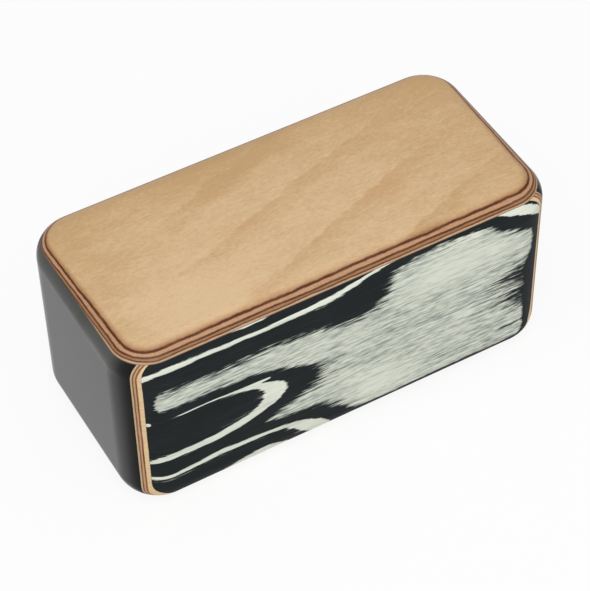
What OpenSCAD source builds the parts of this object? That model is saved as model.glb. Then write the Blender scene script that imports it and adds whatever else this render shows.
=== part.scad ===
// Box shaker: a glued box of plywood and black board with loose shot inside.
// The whole box is rounded over after it is glued, so that every layer of
// wood comes to the surface along the edges.
// Millimetres. The origin is the middle of the underside, +X runs along the
// length, the front face looks to -Y.

/* [Box] */
// Length over both black ends
box_l = 120; // [90:1:180]
// Depth from the front face to the back face
box_w = 57; // [40:1:80]
// Height from the underside to the top face
box_h = 54.5; // [40:0.5:80]

/* [Rounding] */
// Radius of the four upright edges, seen from above
corner_r = 11; // [8:0.5:14]
// Radius routed round the top and round the underside
edge_r = 7; // [4:0.5:7.5]

/* [Plywood] */
// Beech veneer on the top panel
top_veneer_t = 0.7; // [0.5:0.05:1.1]
// Two-tone veneer on the front and back panels
face_veneer_t = 1.8; // [1.2:0.05:2.4]
// Outer ply, next to the veneer
outer_ply_t = 0.8; // [0.6:0.05:1.2]
// Core ply
core_ply_t = 0.6; // [0.5:0.05:1]
// Inner ply, next to the hollow
inner_ply_t = 0.6; // [0.5:0.05:1]

/* [Black boards] */
// Thickness of the end boards
end_t = 8; // [7.75:0.25:12]
// Thickness of the base board
base_t = 6; // [4:0.25:10]

/* [Shot] */
// Diameter of one ball
shot_d = 3; // [2:0.25:4]
// Clear gap round a ball at rest
shot_gap = 0.25; // [0.15:0.05:0.5]
// Rows of balls in each lane, front to back
shot_rows = 4; // [1:1:6]

/* [Hidden] */
$fn = 64;

// Panels and the hollow between them
ply_t = outer_ply_t + core_ply_t + inner_ply_t;
top_t = top_veneer_t + ply_t;
face_t = face_veneer_t + ply_t;
hollow_l = box_l - 2 * end_t;
hollow_w = box_w - 2 * face_t;

// Straight runs of the routed block between its corners
run_l = box_l - 2 * corner_r;
run_w = box_w - 2 * corner_r;

// Lanes of shot side by side along the hollow
lane_count = 8;
lane_w = hollow_l / lane_count;
shot_pitch = shot_d + shot_gap;
shot_row_pitch = shot_pitch * sqrt(3) / 2;
shot_cols = floor(lane_w / shot_pitch - 0.5);

beech = "#cdb083";
ply_pink = "#cd9f7c";
ply_tan = "#d6b084";
ply_pale = "#e2c79c";
zebra = "#2b2e2f";
lacquer = "#3a3c3b";
steel = "#9a9c9e";

// Quarter of a disc, in the first quadrant
module quarter_disc(r) {
    intersection() {
        circle(r);
        square(r);
    }
}

// Upright section from an axis at zero out to a face, routed top and bottom
module half_section(reach) {
    square([reach - edge_r, box_h]);
    translate([reach - edge_r, edge_r])
        square([edge_r, box_h - 2 * edge_r]);
    translate([reach - edge_r, box_h - edge_r])
        quarter_disc(edge_r);
    translate([reach - edge_r, edge_r])
        mirror([0, 1])
            quarter_disc(edge_r);
}

// One end of the routed block: a straight run between two quarter turns
module routed_end() {
    translate([0, run_w / 2, 0])
        rotate([90, 0, 0])
            linear_extrude(run_w)
                half_section(corner_r);
    for (side = [0, 1])
        mirror([0, side, 0])
            translate([0, run_w / 2, 0])
                rotate_extrude(angle = 90)
                    half_section(corner_r);
}

// The form that the router leaves, as one solid block
module routed_block() {
    translate([-run_l / 2, 0, 0])
        rotate([90, 0, 90])
            linear_extrude(run_l)
                for (side = [0, 1])
                    mirror([side, 0])
                        half_section(box_w / 2);
    for (side = [0, 1])
        mirror([side, 0, 0])
            translate([run_l / 2, 0, 0])
                routed_end();
}

// What the routed block leaves of a board between two opposite corners
module routed_board(from, to) {
    intersection() {
        routed_block();
        translate(from)
            cube(to - from);
    }
}

// Layer of the top panel, lying over everything else
module top_layer(depth, t) {
    z = box_h - depth;
    routed_board([-box_l / 2, -box_w / 2, z - t], [box_l / 2, box_w / 2, z]);
}

// Layer of the front panel, under the top and over the ends
module front_layer(depth, t) {
    y = -box_w / 2 + depth;
    routed_board([-box_l / 2, y, 0], [box_l / 2, y + t, box_h - top_t]);
}

// Layer of the back panel, the front one turned over
module back_layer(depth, t) {
    mirror([0, 1, 0])
        front_layer(depth, t);
}

// End board, between the front and back panels
module left_end_board() {
    color(lacquer)
        routed_board([-box_l / 2, -hollow_w / 2, 0], [-hollow_l / 2, hollow_w / 2, box_h - top_t]);
}

module right_end_board() {
    mirror([1, 0, 0])
        left_end_board();
}

// Base board, between the four walls
module base_board() {
    color(lacquer)
        routed_board([-hollow_l / 2, -hollow_w / 2, 0], [hollow_l / 2, hollow_w / 2, base_t]);
}

// One lane of loose balls, staggered row by row, lying on the base
module shot_lane(number) {
    lane_x = (number - (lane_count + 1) / 2) * lane_w;
    color(steel)
        for (row = [0 : shot_rows - 1], col = [0 : shot_cols - 1]) {
            stagger = (row % 2 - 0.5) * shot_pitch / 2;
            x = lane_x + (col - (shot_cols - 1) / 2) * shot_pitch + stagger;
            y = (row - (shot_rows - 1) / 2) * shot_row_pitch;
            translate([x, y, base_t + shot_gap + shot_d / 2])
                sphere(d = shot_d);
        }
}

color(beech) top_layer(0, top_veneer_t);  // top_face_veneer
color(ply_pink) top_layer(top_veneer_t, outer_ply_t);  // top_outer_ply
color(ply_tan) top_layer(top_veneer_t + outer_ply_t, core_ply_t);  // top_core_ply
color(ply_pale) top_layer(top_t - inner_ply_t, inner_ply_t);  // top_inner_ply

color(zebra) front_layer(0, face_veneer_t);  // front_face_veneer
color(ply_pale) front_layer(face_veneer_t, outer_ply_t);  // front_outer_ply
color(ply_pink) front_layer(face_veneer_t + outer_ply_t, core_ply_t);  // front_core_ply
color(ply_pale) front_layer(face_t - inner_ply_t, inner_ply_t);  // front_inner_ply

color(zebra) back_layer(0, face_veneer_t);  // back_face_veneer
color(ply_pale) back_layer(face_veneer_t, outer_ply_t);  // back_outer_ply
color(ply_pink) back_layer(face_veneer_t + outer_ply_t, core_ply_t);  // back_core_ply
color(ply_pale) back_layer(face_t - inner_ply_t, inner_ply_t);  // back_inner_ply

left_end_board();
right_end_board();
base_board();

shot_lane(1);  // shot_lane_1
shot_lane(2);  // shot_lane_2
shot_lane(3);  // shot_lane_3
shot_lane(4);  // shot_lane_4
shot_lane(5);  // shot_lane_5
shot_lane(6);  // shot_lane_6
shot_lane(7);  // shot_lane_7
shot_lane(8);  // shot_lane_8
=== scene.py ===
import math

import bpy
import numpy as np
from mathutils import Matrix, Vector


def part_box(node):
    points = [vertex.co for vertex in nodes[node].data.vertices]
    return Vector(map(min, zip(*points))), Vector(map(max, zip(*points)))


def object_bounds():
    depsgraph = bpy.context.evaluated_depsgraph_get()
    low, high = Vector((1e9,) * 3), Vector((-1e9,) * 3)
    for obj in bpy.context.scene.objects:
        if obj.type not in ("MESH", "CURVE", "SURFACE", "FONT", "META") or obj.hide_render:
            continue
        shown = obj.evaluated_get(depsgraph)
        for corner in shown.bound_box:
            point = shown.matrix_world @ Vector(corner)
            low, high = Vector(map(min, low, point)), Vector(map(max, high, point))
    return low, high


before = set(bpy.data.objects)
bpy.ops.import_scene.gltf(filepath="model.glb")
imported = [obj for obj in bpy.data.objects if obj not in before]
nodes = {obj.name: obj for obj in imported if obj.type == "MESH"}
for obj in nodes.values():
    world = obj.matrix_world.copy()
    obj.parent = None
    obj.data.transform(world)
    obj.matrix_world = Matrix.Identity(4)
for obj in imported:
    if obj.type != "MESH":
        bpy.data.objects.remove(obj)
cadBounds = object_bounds()
perMetre = 1000.0  # the finishes are worked out in millimetres
boxLow, boxHigh = (Vector(v) * perMetre for v in cadBounds)
layerNames = ("face_veneer", "outer_ply", "core_ply", "inner_ply")  # of a panel, from the face inwards
print("frame loaded:", len(nodes), "pieces, box", [round(v, 1) for v in boxHigh - boxLow], "mm")


# One wire is one shader socket; arithmetic on wires adds Math nodes
class Wire:
    def __init__(self, tree, socket=None):
        self.tree = tree
        self.socket = socket

    # any node: its type, its settings, then the values or links of its sockets
    def make(self, kind, settings=None, inputs=None, output=0):
        node = self.tree.nodes.new("ShaderNode" + kind)
        for name, value in (settings or {}).items():
            setattr(node, name, value)
        for name, value in (inputs or {}).items():
            target = node.inputs[name]
            if isinstance(value, Wire):
                self.tree.links.new(value.socket, target)
            elif target.type == "RGBA":
                target.default_value = (*value, 1.0)
            else:
                target.default_value = value
        return Wire(self.tree, node.outputs[output] if node.outputs else None)

    def other(self, output):  # another output of the same node
        return Wire(self.tree, self.socket.node.outputs[output])

    def calc(self, operation, *values):
        return self.make("Math", {"operation": operation}, dict(enumerate(values)))

    def __add__(self, b): return self.calc("ADD", self, b)
    def __radd__(self, b): return self.calc("ADD", b, self)
    def __sub__(self, b): return self.calc("SUBTRACT", self, b)
    def __rsub__(self, b): return self.calc("SUBTRACT", b, self)
    def __mul__(self, b): return self.calc("MULTIPLY", self, b)
    def __rmul__(self, b): return self.calc("MULTIPLY", b, self)
    def __truediv__(self, b): return self.calc("DIVIDE", self, b)
    def __rtruediv__(self, b): return self.calc("DIVIDE", b, self)
    def __pow__(self, b): return self.calc("POWER", self, b)
    def __rpow__(self, b): return self.calc("POWER", b, self)
    def __neg__(self): return self.calc("MULTIPLY", self, -1.0)
    def __abs__(self): return self.calc("ABSOLUTE", self)

    def larger(self, b):
        return self.calc("MAXIMUM", self, b)

    # smooth step, 0 at low and 1 at high
    def step(self, low, high):
        return self.make("MapRange", {"interpolation_type": "SMOOTHSTEP"},
                         {"Value": self, "From Min": low, "From Max": high})

    # smooth step round one value, as wide as soft on either side
    def over(self, value, soft):
        return self.step(value - soft, value + soft)

    # colour from a to b as this wire goes from 0 to 1
    def blend(self, a, b, way="MIX"):
        return self.make("Mix", {"data_type": "RGBA", "blend_type": way}, {0: self, 6: a, 7: b}, 2)

    # colour a darkened or tinted by colour b as this wire goes from 0 to 1
    def stain(self, a, b):
        return self.blend(a, b, "MULTIPLY")

    def scaled(self, factors):
        return self.make("VectorMath", {"operation": "MULTIPLY"}, {0: self, 1: factors})

    # noise about zero, nearly all of it within 1 either way; waves are per millimetre on each axis
    def noise(self, waves, detail, rough, shift):
        moved = self.make("VectorMath", {"operation": "MULTIPLY_ADD"},
                          {0: self, 1: waves, 2: (shift, shift, shift)})
        cloud = self.make("TexNoise", {"noise_dimensions": "3D"},
                          {"Vector": moved, "Scale": 1.0, "Detail": detail, "Roughness": rough})
        return (cloud - 0.5) * 3.0


def srgb(r, g, b):
    c = np.array([r, g, b]) / 255.0
    linear = np.where(c <= 0.04045, c / 12.92, ((c + 0.055) / 1.055) ** 2.4)
    return tuple(float(v) for v in linear)


# New material, with the place on the object in millimetres as a vector and as x, y, z
def startFinish(name):
    material = bpy.data.materials.new(name)
    material.use_nodes = True
    material.node_tree.nodes.clear()
    metres = Wire(material.node_tree).make("TexCoord", output="Object")
    place = metres.scaled((perMetre, perMetre, perMetre))
    split = place.make("SeparateXYZ", inputs={0: place})
    return material, place, [split.other(axis) for axis in range(3)]


# Closes a finish; relief is the height of the bump in millimetres
def endFinish(material, colour, roughness, height, relief, **sockets):
    wire = Wire(material.node_tree)
    bump = wire.make("Bump", inputs={"Strength": 1.0, "Distance": relief / perMetre, "Height": height})
    inputs = {"Base Color": colour, "Roughness": roughness, "Normal": bump}
    inputs.update({name.replace("_", " "): value for name, value in sockets.items()})
    shader = wire.make("BsdfPrincipled", inputs=inputs)
    wire.make("OutputMaterial", inputs={"Surface": shader})
    return material


def dress(names, material):
    for name in names:
        slots = nodes[name].data.materials
        slots.clear()
        slots.append(material)


# All the noises of a finish by name; each recipe is waves per mm in x, y, z, octaves, roughness, shift
def noises(place, recipes):
    return {name: place.noise(*recipe) for name, recipe in recipes.items()}


# Sum of some of these noises, each with its share
def weigh(grain, shares):
    return sum(grain[name] * share for name, share in shares.items())


# Sum of soft hollows. One is its depth times e to the minus q to the power of its steepness, where q is
# the distance from its middle measured in reaches
def hollows(across, up, specs):
    total = 0.0
    for middle, height, left, right, down, rise, deep, steep in specs.values():
        aside, above = across - middle, up - height
        aside = (aside / right).larger(aside / -left)
        above = (above / rise).larger(above / -down)
        fall = -((aside * aside + above * above) ** (steep / 2))
        total = total + fall.calc("EXPONENT", fall) * deep
    return total


# Fibre of one ply: fine streaks and pores that lie flat in the layer
def plyFibre(place, pale, dark, shift):
    streak = place.noise((0.35, 0.35, 7.0), 3.0, 0.6, shift)
    pores = place.noise((2.2, 2.2, 5.0), 2.0, 0.6, shift + 4.0)
    return (streak * 0.45 + pores * 0.35 + 0.5).step(0.0, 1.0).blend(pale, dark)


# Plywood seen by its depth below the face: a colour for each layer, and a dark glue line where two meet
def plyLayers(place, depth, face, edges, look):
    colour = face
    lines = 0.0
    wander = look["wander"]
    for i, (edge, ply, (glue, width, strength)) in enumerate(zip(edges, look["plies"], look["glues"])):
        slow = place.noise((0.09, 0.09, 0.09), 1.0, 0.5, 7.0 * i)
        quick = place.noise((0.33, 0.33, 0.33), 2.0, 0.5, 11.0 * i)
        fine = place.noise((1.1, 1.1, 1.1), 2.0, 0.6, 17.0 * i)
        patchy = place.noise((0.16, 0.16, 0.16), 2.0, 0.6, 5.0 * i + 3.0)
        level = edge + (slow + quick * 0.6 + fine * 0.4) * wander
        colour = depth.over(level, 0.03).blend(colour, plyFibre(place, *ply))
        line = (1.0 - abs(depth - level).step(width / 4, width)) * (patchy * 0.25 + strength)
        colour = line.blend(colour, glue)
        lines = lines + line
    return colour, lines


# Beech top panel
beech = {
    "pale": srgb(218, 187, 146),
    "tan": srgb(191, 155, 110),
    "warm": srgb(202, 156, 112),
    "fleck": srgb(158, 118, 76),
    "ray": srgb(228, 204, 168),
    "speck": srgb(92, 66, 42),
    "scorch": srgb(188, 146, 112),
    "jointShade": srgb(120, 84, 58),
    "lineSlant": 0.37,         # rise of the growth lines towards the right
    "lineSpacing": 17.7,       # from one growth line to the next, mm across
    "firstLine": -12.5,        # where one of them crosses the middle of the length, mm
    "lineWander": {"broad": 0.10, "bend": 0.13, "jag": 0.045},
    "lineFade": (0.50, 0.96),  # share of the spacing where the dark side starts and where it is darkest
    "lineReach": (8, 14, 50),  # the lines are clearest round this x and fade between these distances
    "lineDark": 0.30,
    "palest": (-20, -16),      # the sheet is palest here and darkens away from it
    "darkening": (-0.000055, -0.00022),  # tone for each square mm along and across
    "leftDark": (-58, -28),    # it darkens again towards the left end, between these x
    "leftDarkTone": 0.18,
    # paler and darker spots: x, y, reach left, right, down, up in mm, tone, steepness
    "toneSpots": {
        "frontLeft": (-40, -16, 16, 17, 10, 10, 0.34, 2),
        "backMiddle": (-9, 23, 22, 18, 9, 9, -0.36, 2),
    },
    "tone": 0.73,
    "toneShares": {"broad": 0.12, "streak": 0.19, "dapple": 0.17, "pores": 0.26},
    "grain": {
        "broad": ((0.009, 0.035, 0.035), 2, 0.5, 2),
        "patch": ((0.025, 0.05, 0.05), 2, 0.55, 21),
        "bend": ((0.05, 0.10, 0.10), 4, 0.6, 31),
        "jag": ((0.22, 0.40, 0.40), 2, 0.6, 37),
        "clear": ((0.03, 0.06, 0.06), 2, 0.5, 91),
        "streak": ((0.19, 1.8, 1.8), 4, 0.7, 5),
        "fleck": ((0.62, 3.6, 3.6), 2, 0.6, 9),
        "dapple": ((0.12, 0.30, 0.30), 3, 0.6, 51),
        "pores": ((0.9, 1.9, 1.9), 2, 0.6, 71),
        "blush": ((0.07, 0.14, 0.14), 3, 0.6, 81),
        "ray": ((0.45, 1.1, 1.1), 2, 0.6, 61),
        "rare": ((0.03, 0.03, 0.03), 0, 0.5, 17),
        "scorch": ((0.12, 0.12, 0.12), 3, 0.6, 41),
    },
    "fleckPeaks": (0.30, 0.95),
    "speckCells": (0.04, 0.075, 0.075),  # cells for each mm, with one speck at most in each
    "speckSize": (0.010, 0.026),
    # outer, core and inner ply: pale and dark fibre, shift of the noise
    "plies": [
        (srgb(194, 152, 116), srgb(168, 126, 92), 1.0),
        (srgb(164, 121, 84), srgb(136, 98, 65), 14.0),
        (srgb(200, 168, 136), srgb(176, 144, 112), 27.0),
    ],
    # the glue line above each: colour, half width in mm of depth, strength
    "glues": [(srgb(80, 34, 0), 0.25, 1.0), (srgb(80, 34, 0), 0.25, 0.95), (srgb(80, 34, 0), 0.2125, 0.85)],
    "glueDepth": 0.07,         # the lines show that much deeper than the layers meet, mm
    "wander": 0.11,            # how far the glue lines wander, mm of depth
    "backSide": (-22, 30),     # from the first y to the second, the edge is sanded less and less
    "backDepth": 0.85,         # and that much less in the end, mm of depth
    "scorchDepth": (0.05, 0.65),
    "jointDepth": (2.45, 2.7),  # where the painted shadow of the joint under the panel lies, mm of depth
    "roughness": 0.46,
    "specular": 0.25,
    "relief": 0.03,
}


# Growth lines cross the sheet at a slant, each with a sharp far side and a dark near side that fades
def growthLines(look, grain, x, y):
    lap = (y - x * look["lineSlant"] - look["firstLine"]) / look["lineSpacing"]
    lap = lap + weigh(grain, look["lineWander"])
    lap = lap.calc("FRACT", lap)
    start, darkest = look["lineFade"]
    lines = lap.step(start, darkest) * (1.0 - lap.step(darkest, 1.0))
    middle, near, far = look["lineReach"]
    clear = (1.0 - abs(x - middle).step(near, far)) * 0.6 + grain["clear"] * 0.5 + 0.15
    return lines * clear.step(0.0, 1.0)


def beechFace(look, grain, place, x, y):
    lines = growthLines(look, grain, x, y)
    along, across = x - look["palest"][0], y - look["palest"][1]
    drift = along * along * look["darkening"][0] + across * across * look["darkening"][1]
    drift = drift - (1.0 - x.step(*look["leftDark"])) * look["leftDarkTone"]
    drift = drift + hollows(x, y, look["toneSpots"])
    tone = drift - lines * look["lineDark"] + weigh(grain, look["toneShares"]) + look["tone"]
    colour = tone.step(0.0, 1.0).blend(look["tan"], look["pale"])
    # warm patches, mostly along the dark side of the growth lines
    blush = grain["blush"].step(0.0, 0.9) * (lines * 0.5 + 0.15) + grain["patch"].step(0.1, 1.2) * 0.25
    colour = blush.blend(colour, look["warm"])
    # dark flecks, pale rays and a few specks
    colour = (grain["fleck"] * 0.5).blend(colour, look["fleck"])
    colour = (grain["ray"].step(0.45, 0.9) * 0.4).blend(colour, look["ray"])
    cells = place.make("TexVoronoi", {"feature": "F1"},
                       {"Vector": place.scaled(look["speckCells"]), "Scale": 1.0})
    specks = (1.0 - cells.step(*look["speckSize"])) * grain["rare"].step(0.35, 0.45)
    return (specks * 0.7).blend(colour, look["speck"])


def topPanelFinish(look):
    material, place, (x, y, z) = startFinish("beechTopPanel")
    grain = noises(place, look["grain"])
    grain["fleck"] = grain["fleck"].step(*look["fleckPeaks"])  # only its peaks show
    tops = [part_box("top_" + layer)[1].z * perMetre for layer in layerNames]
    depth = tops[0] - z
    spared = y.step(*look["backSide"]) * look["backDepth"]
    # sanding through the thin veneer browns it just above the first glue line
    browned = (depth - spared).step(*look["scorchDepth"]) * (grain["scorch"] * 0.3 + 0.75)
    face = browned.stain(beechFace(look, grain, place, x, y), look["scorch"])
    edges = [spared + (tops[0] - top + look["glueDepth"]) for top in tops[1:]]
    colour, lines = plyLayers(place, depth, face, edges, look)
    # painted shadow along the joint where the panel meets the board below
    colour = (depth.step(*look["jointDepth"]) * 0.75).stain(colour, look["jointShade"])
    roughness = grain["streak"] * 0.04 + lines * 0.1 + look["roughness"]
    height = grain["streak"] * 0.25 - grain["fleck"] * 0.5 - lines * 0.8
    return endFinish(material, colour, roughness, height, look["relief"],
                     Specular_IOR_Level=look["specular"])


dress(["top_" + layer for layer in layerNames], topPanelFinish(beech))
print("beech top finished")

# Two-tone veneer: a dyed block of white and black sheets, pressed wavy and cut flat.
# The level is how far up the stack the cut runs: above whiteEdge is the thick white sheet,
# then black, then a thin cream sheet, then black again. Hollows in the level draw the figure.
twoTone = {
    # darkest and palest tone of each sheet
    "black": (srgb(28, 32, 34), srgb(42, 46, 47)),
    "white": (srgb(112, 120, 118), srgb(219, 223, 208)),
    "cream": (srgb(170, 177, 168), srgb(228, 231, 216)),
    "plateau": 1.12,           # level of the cut away from all hollows
    "whiteEdge": 1.0,
    "creamBand": (0.47, 0.585),
    "secondCream": 0.06,       # below this level is one more cream sheet
    "whiteEnd": (51.9, 55.1),  # the white is sanded through between these distances from the middle, mm
    "whiteDrop": 0.5,          # level lost by then
    "farInset": 1.3,           # and that much sooner low down at the right, mm
    "farSide": (0, 10),        # which starts between these x
    "farLow": (30, 38),        # and ends between these heights
    "lowEdge": (4, 8),         # the lower edge ends between these heights, mm
    "lowEdgeDrop": 0.9,        # level lost there for each mm of depth
    "whiteBody": (1.02, 1.42),  # the white gets cleaner between these levels
    "creamBend": (0.03, 0.08),  # cream level lost for each mm of depth, low down and higher up
    "creamBendAt": (16, 18),   # which changes between these heights, mm
    "deepBend": 0.08,          # the same for the second cream sheet
    "deepBendEnd": (44, 52),   # which ends between these distances from the middle, mm
    "feather": 0.4,            # strength of the brushed fringe inside the cream lines
    "featherTop": (40, 44),    # which ends between these heights, mm
    # each hollow: x, z, reach left, right, down, up in mm, depth, steepness
    "hollows": {
        "topBand": (-15.6, 61.3, 196.2, 28.4, 15, 14.6, 0.95, 2.9),
        "topBandTail": (2.1, 43.8, 11.8, 10.8, 5.9, 5.9, 0.26, 2.5),
        "loop": (-42.1, 26.2, 58.8, 28.4, 9.9, 7.7, 0.95, 3.5),
        "lowBand": (-26.4, 2.8, 98.1, 24.5, 10.7, 10.7, 0.95, 3.5),
        "topRimPatch": (-26.8, 54.5, 9.5, 9.5, 3.4, 4.9, 0.55, 3),
        "lowRimPatch": (-26, 3.2, 7.5, 8, 3.6, 3.6, 0.23, 3),
        "lowLineDip": (-36.2, 13.5, 7.8, 7.8, 3.9, 3.9, 0.06, 2),
        "highRim": (27, 55.5, 30, 12, 4.6, 5, 0.6, 3),
        "farCorner": (59.9, 61.3, 25.3, 27.5, 17, 15.1, 0.95, 3.5),
        "farEdge": (54, 29.5, 14, 6, 6.5, 5.5, 0.21, 2),
        "farEdgeLow": (54.5, 20, 12, 6, 4.6, 3.8, 0.18, 2),
        "farStreak": (47.5, 10.8, 4, 4, 1.1, 1, 0.16, 2),
        "tongue": (-36.2, 38.6, 39.2, 24.5, 3.0, 2.6, -0.05, 2),
        "tongueUnder": (-38, 34.8, 18, 18, 1.6, 1.6, 0.07, 2),
        "tongueOver": (-40, 43.5, 20, 22, 1.6, 1.8, 0.07, 2),
        "wedge": (-19.5, 15.8, 5.9, 11.8, 1.8, 1.8, -0.14, 2),
        "highSwell": (33.4, 43.8, 19.6, 19.6, 8.8, 8.8, -0.25, 2),
        "midSwell": (-3.8, 34, 8.8, 8.8, 3.9, 3.9, -0.12, 2),
        "lowSwell": (8.9, 10.6, 11.8, 11.8, 5.9, 5.9, -0.2, 2),
    },
    # places where sanding the corners wore the veneer thin: the same numbers, in mm
    "wear": {
        "lowLeft": (-53.5, 3, 6, 5, 5, 3.6, 1.2, 2.5),
        "lowRight": (55, 5, 5, 6, 6, 5, 0.8, 2),
        "highLeft": (-51, 52, 6, 6, 3, 3, -0.4, 2),
    },
    # places where the cream sheet is thicker: the same numbers, in level
    "creamSwells": {
        "loopTip": (-21.5, 25.2, 8.8, 7.8, 6.8, 5.9, 0.15, 2),
        "loopLowArm": (-38.2, 18.4, 23.5, 17.7, 3.9, 3.9, 0.12, 2),
        "lowBandEnd": (-10.2, 7.2, 6.9, 5.9, 4.9, 4.9, 0.25, 2),
        "farCorner": (50.1, 51, 8.8, 8.8, 4.9, 4.9, 0.17, 2),
        "loopHighArm": (-40.1, 32.5, 19.6, 11.8, 2, 2, -0.03, 2),
        "loopHighEnd": (-53, 32.5, 5, 5, 3.2, 3.2, -0.2, 3.5),
        "rimFleck": (-54.9, 31.6, 1.5, 0.9, 0.8, 0.8, 0.6, 2),
        "lowLine": (-32, 12, 16, 14, 4, 4, 0.025, 2),
    },
    # places where the cream sheet reaches further out: the same numbers, in level
    "creamStrokes": {
        "loopStroke": (-26, 31.7, 6.5, 5.5, 0.45, 0.45, 0.3, 2),
        "rimSmudge": (-51.6, 30.6, 2, 2.4, 0.4, 0.4, 0.1, 2),
    },
    "grain": {
        "fibre": ((0.07, 0.2, 1.3), 3, 0.6, 3),
        "hair": ((0.13, 0.4, 2.6), 2, 0.6, 13),
        "dash": ((0.33, 0.5, 2.0), 2, 0.6, 43),
        "slow": ((0.05, 0.05, 0.12), 2, 0.5, 23),
        "cloud": ((0.045, 0.05, 0.09), 2, 0.5, 33),
    },
    # how ragged the end of the white is, in mm, and the other edges, in level
    "endRagged": {"dash": 0.9, "hair": 1.1},
    "whiteRagged": {"fibre": 0.08, "hair": 0.08, "dash": 0.06, "slow": 0.02},
    "creamRagged": {"slow": 0.02, "fibre": 0.026, "hair": 0.024, "dash": 0.02},
    "deepRagged": {"slow": 0.05, "dash": 0.05, "hair": 0.05},
    # what marks each sheet
    "blackTone": {"fibre": 0.25, "hair": 0.25, "slow": 0.2},
    "whiteMarks": {"hair": 0.44, "dash": 0.46, "fibre": 0.24},
    "creamTone": {"fibre": 0.25, "hair": 0.22, "dash": 0.12, "cloud": 0.15},
    "fringe": {"hair": 0.7, "fibre": 0.5, "dash": 0.3},
    # outer, core and inner ply: pale and dark fibre, shift of the noise
    "plies": [
        (srgb(232, 204, 164), srgb(208, 174, 132), 2.0),
        (srgb(206, 164, 128), srgb(180, 134, 100), 15.0),
        (srgb(204, 180, 146), srgb(180, 152, 120), 28.0),
    ],
    # the glue line above each: colour, half width in mm of depth, strength
    "glues": [(srgb(28, 32, 34), 0.05, 0.6), (srgb(84, 44, 14), 0.22, 0.85), (srgb(84, 44, 14), 0.22, 0.75)],
    "glueDepth": 0.15,         # the lines show that much deeper than the layers meet, mm
    "wander": 0.05,            # how far the glue lines wander, mm of depth
    "roughness": 0.55,
    "specular": 0.04,
    "relief": 0.02,
}


# How much of the white sheet shows, and its colour
def whiteSheet(look, grain, level, x, up, depth):
    # the rounding cuts through it into the black below, sooner along the lower edge
    inset = x.step(*look["farSide"]) * (1.0 - up.step(*look["farLow"])) * look["farInset"]
    cut = (abs(x) + inset + weigh(grain, look["endRagged"])).step(*look["whiteEnd"]) * look["whiteDrop"]
    cut = cut + depth * (1.0 - up.step(*look["lowEdge"])) * look["lowEdgeDrop"]
    sheet = level - cut
    amount = (sheet + weigh(grain, look["whiteRagged"])).over(look["whiteEdge"], 0.06)
    # it is cleanest where it is thickest, and marked with fine dashes elsewhere
    body = (sheet + grain["slow"] * 0.05).step(*look["whiteBody"])
    marks = weigh(grain, look["whiteMarks"]) * (1.0 - body * 0.6)
    tone = marks + body * 0.30 + grain["cloud"] * 0.12 + 0.56
    return amount, tone.step(0.0, 1.0).blend(*look["white"])


# How much of the two cream sheets shows, and their colour
def creamSheets(look, grain, level, x, up, depth):
    bendLow, bendHigh = look["creamBend"]
    bend = up.step(*look["creamBendAt"]) * (bendHigh - bendLow) + bendLow
    cut = level - depth * bend + weigh(grain, look["creamRagged"])
    low = look["creamBand"][0] - hollows(x, up, look["creamSwells"])
    high = look["creamBand"][1] + hollows(x, up, look["creamStrokes"])
    first = cut.step(low - 0.015, low + 0.02) * (1.0 - cut.step(high - 0.02, high + 0.012))
    deepCut = level - depth * (1.0 - abs(x).step(*look["deepBendEnd"])) * look["deepBend"]
    second = 1.0 - (deepCut + weigh(grain, look["deepRagged"])).over(look["secondCream"], 0.03)
    brushed = weigh(grain, look["fringe"]).step(0.05, 0.55) * (1.0 - up.step(*look["featherTop"]))
    fringe = cut.step(low - 0.11, low) * (1.0 - cut.step(high - 0.02, high)) * brushed
    amount = first.larger(second).larger(fringe * look["feather"])
    tone = weigh(grain, look["creamTone"]) + 0.72
    return amount, tone.step(0.0, 1.0).blend(*look["cream"])


def facePanelFinish(look):
    material, place, (x, y, z) = startFinish("twoToneFacePanel")
    grain = noises(place, look["grain"])
    depth = boxHigh.y - abs(y)
    # the back sheet is the next one off the block, turned over
    up = z + y.step(-1.0, 1.0) * (boxHigh.z - 2.0 * z)
    level = look["plateau"] - hollows(x, up, look["hollows"])
    whiteAmount, white = whiteSheet(look, grain, level, x, up, depth)
    creamAmount, cream = creamSheets(look, grain, level, x, up, depth)
    black = (weigh(grain, look["blackTone"]) + 0.4).step(0.0, 1.0).blend(*look["black"])
    face = creamAmount.blend(whiteAmount.blend(black, white), cream)
    fronts = [abs(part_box("front_" + layer)[0].y) * perMetre for layer in layerNames[1:]]
    edges = [boxHigh.y - front + look["glueDepth"] for front in fronts]
    edges[0] = edges[0] - hollows(x, up, look["wear"])
    colour, lines = plyLayers(place, depth, face, edges, look)
    roughness = grain["fibre"] * 0.04 + look["roughness"]
    height = grain["fibre"] * 0.3 + grain["hair"] * 0.35 + whiteAmount * 0.4 - lines * 0.6
    return endFinish(material, colour, roughness, height, look["relief"],
                     Specular_IOR_Level=look["specular"])


dress([side + layer for side in ("front_", "back_") for layer in layerNames], facePanelFinish(twoTone))
print("two-tone faces finished")

# Black lacquer on the ends and base
lacquer = {
    "colour": srgb(20, 21, 20),
    "dust": srgb(36, 37, 35),
    # grey of the painted sheen along the top of the ends
    "paintedSheenColour": srgb(78, 80, 77),
    "paintedSheenHeight": (-9, -4.5),  # painted sheen lightens the top of the ends between these heights, mm from the top
    "paintedSheenWidth": (18, 23),   # and less between these distances from the middle
    "gloss": (1.0, 0.3),       # on the flat, and where sanding thinned it on the upright edges
    "glossWidth": (21, 25),    # which starts between these distances from the middle, mm
    "roughness": 0.24,
    "ior": 1.26,
    "relief": 0.006,
    "grain": {
        "peel": ((0.9, 0.9, 0.9), 2, 0.5, 1),
        "rub": ((0.06, 0.06, 0.06), 4, 0.6, 8),
        "speck": ((3.0, 3.0, 3.0), 1, 0.5, 6),
    },
}


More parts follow.
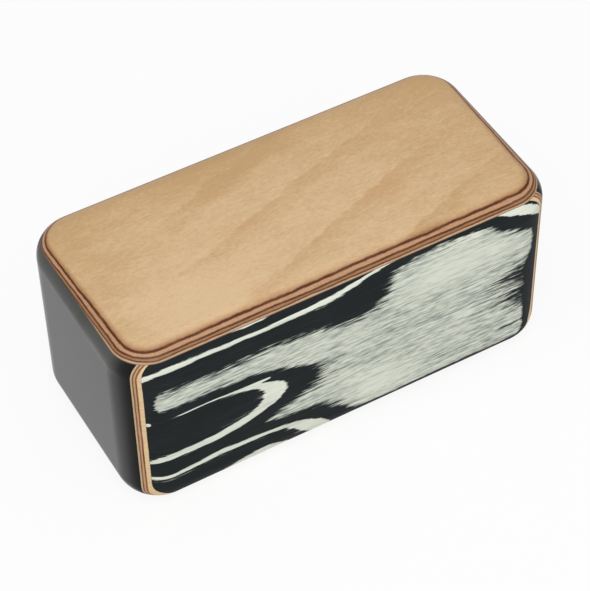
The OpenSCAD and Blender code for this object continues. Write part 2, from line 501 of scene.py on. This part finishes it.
def lacquerFinish(look):
    material, place, (_, y, z) = startFinish("blackLacquer")
    grain = noises(place, look["grain"])
    peel, rub = grain["peel"], grain["rub"]
    dusty = rub * 0.25 + grain["speck"].step(0.8, 1.3) * 0.4 + 0.3
    colour = dusty.blend(look["colour"], look["dust"])
    # painted sheen: a lighter grey band over the top of the ends, standing in for the reflection on the
    # upper rounding and fading out towards the front and back
    paintedSheenMask = (z - boxHigh.z + rub * 2.0).step(*look["paintedSheenHeight"]) * (rub * 0.25 + 0.85)
    paintedSheenMask = paintedSheenMask * (1.0 - abs(y).step(*look["paintedSheenWidth"]))
    colour = paintedSheenMask.blend(colour, look["paintedSheenColour"])
    flat, edge = look["gloss"]
    gloss = abs(y).step(*look["glossWidth"]) * (edge - flat) + flat
    roughness = rub * 0.05 + peel * 0.02 + look["roughness"]
    return endFinish(material, colour, roughness, peel, look["relief"], Specular_IOR_Level=0.0,
                     Coat_Weight=gloss, Coat_Roughness=look["roughness"], Coat_IOR=look["ior"])


dress(["left_end_board", "right_end_board", "base_board"], lacquerFinish(lacquer))
print("black boards finished")

# Steel shot inside
shot = {
    "colour": (0.52, 0.52, 0.53),
    "dull": (0.36, 0.36, 0.37),
    "roughness": 0.28,
    "relief": 0.004,
    "scuff": ((2.5, 2.5, 2.5), 3, 0.6, 4),
}


def shotFinish(look):
    material, place, _ = startFinish("steelShot")
    scuff = place.noise(*look["scuff"])
    colour = (scuff * 0.4 + 0.4).step(0.0, 1.0).blend(look["colour"], look["dull"])
    roughness = scuff * 0.08 + look["roughness"]
    return endFinish(material, colour, roughness, scuff, look["relief"], Metallic=1.0)


dress([name for name in nodes if name.startswith("shot_lane")], shotFinish(shot))
print("shot finished")

# Camera on the photograph's line of sight; the picture is 590 by 591
camera = {
    "aim": (0.0, 0.0, 0.0275),
    "turn": -28.8595,     # degrees round the box from straight in front
    "rise": 47.581,       # degrees above the floor
    "roll": -1.324,
    "distance": 0.56612,  # metres from the aim
    "right": -0.00044,    # how far the aim sits right of and above the picture's middle, metres
    "up": 0.00413,
    "focal": 2240.95,     # in pixels
    "pixels": 590,
    "sensor": 36.0,
}


def placeCamera(view):
    turn, rise, roll = (math.radians(view[name]) for name in ("turn", "rise", "roll"))
    back = Vector((math.sin(turn) * math.cos(rise), -math.cos(turn) * math.cos(rise), math.sin(rise)))
    side = Vector((math.cos(turn), math.sin(turn), 0.0))
    over = back.cross(side)
    right = math.cos(roll) * side + math.sin(roll) * over
    up = math.cos(roll) * over - math.sin(roll) * side
    data = bpy.data.cameras.new("photoCamera")
    data.sensor_fit = "HORIZONTAL"
    data.sensor_width = view["sensor"]
    data.lens = view["focal"] * view["sensor"] / view["pixels"]
    data.clip_start = 0.01
    eye = bpy.data.objects.new("photoCamera", data)
    spot = Vector(view["aim"]) + back * view["distance"] - right * view["right"] - up * view["up"]
    eye.matrix_world = Matrix.Translation(spot) @ Matrix((right, up, back)).transposed().to_4x4()
    bpy.context.scene.collection.objects.link(eye)
    bpy.context.scene.camera = eye


placeCamera(camera)
print("camera placed")

# Studio: pale paper floor that keeps a soft shadow, even light all round and one big soft lamp
studio = {
    "white": (1.0, 1.0, 1.0),
    "floorSize": 8.0,
    "floorColour": (0.9, 0.9, 0.9),
    "floorGlow": 0.88,    # share of the floor that shows as plain white
    "ambient": 0.45,
    "lampSpot": (-0.30, -0.62, 1.15),
    "lampSize": 1.3,
    "lampPower": 14.0,
}


# 1 for rays from the camera, a mirror or glass, so that the background is white in each
def seenDirectly(wire):
    path = wire.make("LightPath", output="Is Camera Ray")
    return path.larger(path.other("Is Glossy Ray")).larger(path.other("Is Transmission Ray"))


def layFloor(setup):
    half = setup["floorSize"] / 2
    u, v = np.meshgrid([-half, half], [-half, half])  # flat grid at the underside
    points = np.stack([u.ravel(), v.ravel(), np.full(u.size, cadBounds[0][2])], 1)
    mesh = bpy.data.meshes.new("floor")
    mesh.from_pydata(points.tolist(), [], [(0, 1, 3, 2)])
    floor = bpy.data.objects.new("floor", mesh)
    bpy.context.scene.collection.objects.link(floor)
    material = bpy.data.materials.new("floorPaper")
    material.use_nodes = True
    material.node_tree.nodes.clear()
    wire = Wire(material.node_tree)
    paper = wire.make("BsdfDiffuse", inputs={"Color": setup["floorColour"]})
    glow = wire.make("Emission", inputs={"Color": setup["white"], "Strength": 1.0})
    both = wire.make("MixShader", inputs={0: seenDirectly(wire) * setup["floorGlow"], 1: paper, 2: glow})
    wire.make("OutputMaterial", inputs={"Surface": both})
    mesh.materials.append(material)


def lightStudio(setup):
    world = bpy.data.worlds.new("studioWorld")
    world.use_nodes = True
    world.node_tree.nodes.clear()
    wire = Wire(world.node_tree)
    strength = seenDirectly(wire) * (1.0 - setup["ambient"]) + setup["ambient"]
    sky = wire.make("Background", inputs={"Color": setup["white"], "Strength": strength})
    wire.make("OutputWorld", inputs={"Surface": sky})
    bpy.context.scene.world = world
    lamp = bpy.data.lights.new("softLamp", "AREA")
    lamp.shape = "SQUARE"
    lamp.size = setup["lampSize"]
    lamp.energy = setup["lampPower"]
    holder = bpy.data.objects.new("softLamp", lamp)
    spot = Vector(setup["lampSpot"])
    aimed = spot.to_track_quat("Z", "Y").to_matrix().to_4x4()
    holder.matrix_world = Matrix.Translation(spot) @ aimed
    bpy.context.scene.collection.objects.link(holder)


layFloor(studio)
lightStudio(studio)
bpy.context.scene.view_settings.view_transform = "Standard"
print("studio lit")
